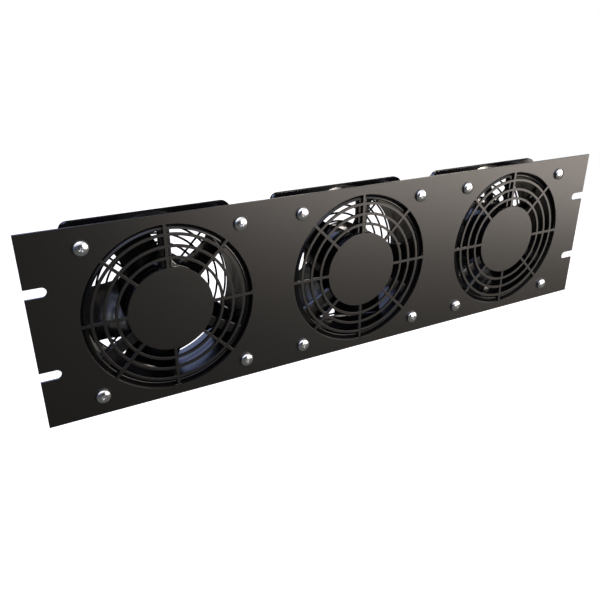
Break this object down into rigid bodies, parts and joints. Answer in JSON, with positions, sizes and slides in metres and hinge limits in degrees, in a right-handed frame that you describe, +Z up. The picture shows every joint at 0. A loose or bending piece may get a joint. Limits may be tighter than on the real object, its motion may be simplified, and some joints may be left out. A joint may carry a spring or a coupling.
{
  "type": "rack fan tray",
  "caption": "Flat rack panel with open end slots and round grilles cut into it, carrying a row of square axial fans with wire guards behind.",
  "frame": {"origin": "middle of the panel's rear face, the plane that seats on the rack rails", "axes": "+X to the right seen from the front, +Y front to back along the air path, +Z up"},
  "size_m": [0.4826, 0.0484, 0.1324],
  "materials": {
    "panel_paint": "black powder coat, satin",
    "fan_casting": "die-cast, black painted",
    "blade_plastic": "moulded, glossy",
    "bright_screw": "bright plated",
    "zinc_nut": "zinc plated",
    "guard_wire": "black coated wire",
    "bearing_steel": "ground",
    "core_steel": "stacked sheet",
    "cup_steel": "pressed sheet",
    "copper_winding": "enamelled copper wire",
    "moulded_plastic": "moulded",
    "pin_brass": "tin plated"
  },
  "bodies": {
    "tray": {"front_panel": "panel_paint", "fan_frame_left": "fan_casting", "front_bearing_left": "bearing_steel", "rear_bearing_left": "bearing_steel", "bearing_cap_left": "bearing_steel", "stator_core_left": "core_steel", "stator_winding_left": "copper_winding", "terminal_block_left": "moulded_plastic", "terminal_pins_left": "pin_brass", "rear_guard_left": "guard_wire", "fan_frame_middle": "fan_casting", "front_bearing_middle": "bearing_steel", "rear_bearing_middle": "bearing_steel", "bearing_cap_middle": "bearing_steel", "stator_core_middle": "core_steel", "stator_winding_middle": "copper_winding", "terminal_block_middle": "moulded_plastic", "terminal_pins_middle": "pin_brass", "rear_guard_middle": "guard_wire", "fan_frame_right": "fan_casting", "front_bearing_right": "bearing_steel", "rear_bearing_right": "bearing_steel", "bearing_cap_right": "bearing_steel", "stator_core_right": "core_steel", "stator_winding_right": "copper_winding", "terminal_block_right": "moulded_plastic", "terminal_pins_right": "pin_brass", "rear_guard_right": "guard_wire", "fan_screws": "bright_screw", "fan_nuts": "zinc_nut"},
    "rotor_left": {"impeller_left": "blade_plastic", "rotor_cup_left": "cup_steel", "rotor_shaft_left": "bearing_steel", "shaft_clip_left": "cup_steel"},
    "rotor_middle": {"impeller_middle": "blade_plastic", "rotor_cup_middle": "cup_steel", "rotor_shaft_middle": "bearing_steel", "shaft_clip_middle": "cup_steel"},
    "rotor_right": {"impeller_right": "blade_plastic", "rotor_cup_right": "cup_steel", "rotor_shaft_right": "bearing_steel", "shaft_clip_right": "cup_steel"}
  },
  "joints": [
    {"name": "spin_left", "type": "hinge", "parent": "tray", "child": "rotor_left", "pos_m": [-0.1524, 0.0215, 0], "axis": [0, 1, 0], "continuous": true},
    {"name": "spin_middle", "type": "hinge", "parent": "tray", "child": "rotor_middle", "pos_m": [0, 0.0215, 0], "axis": [0, 1, 0], "continuous": true},
    {"name": "spin_right", "type": "hinge", "parent": "tray", "child": "rotor_right", "pos_m": [0.1524, 0.0215, 0], "axis": [0, 1, 0], "continuous": true}
  ]
}
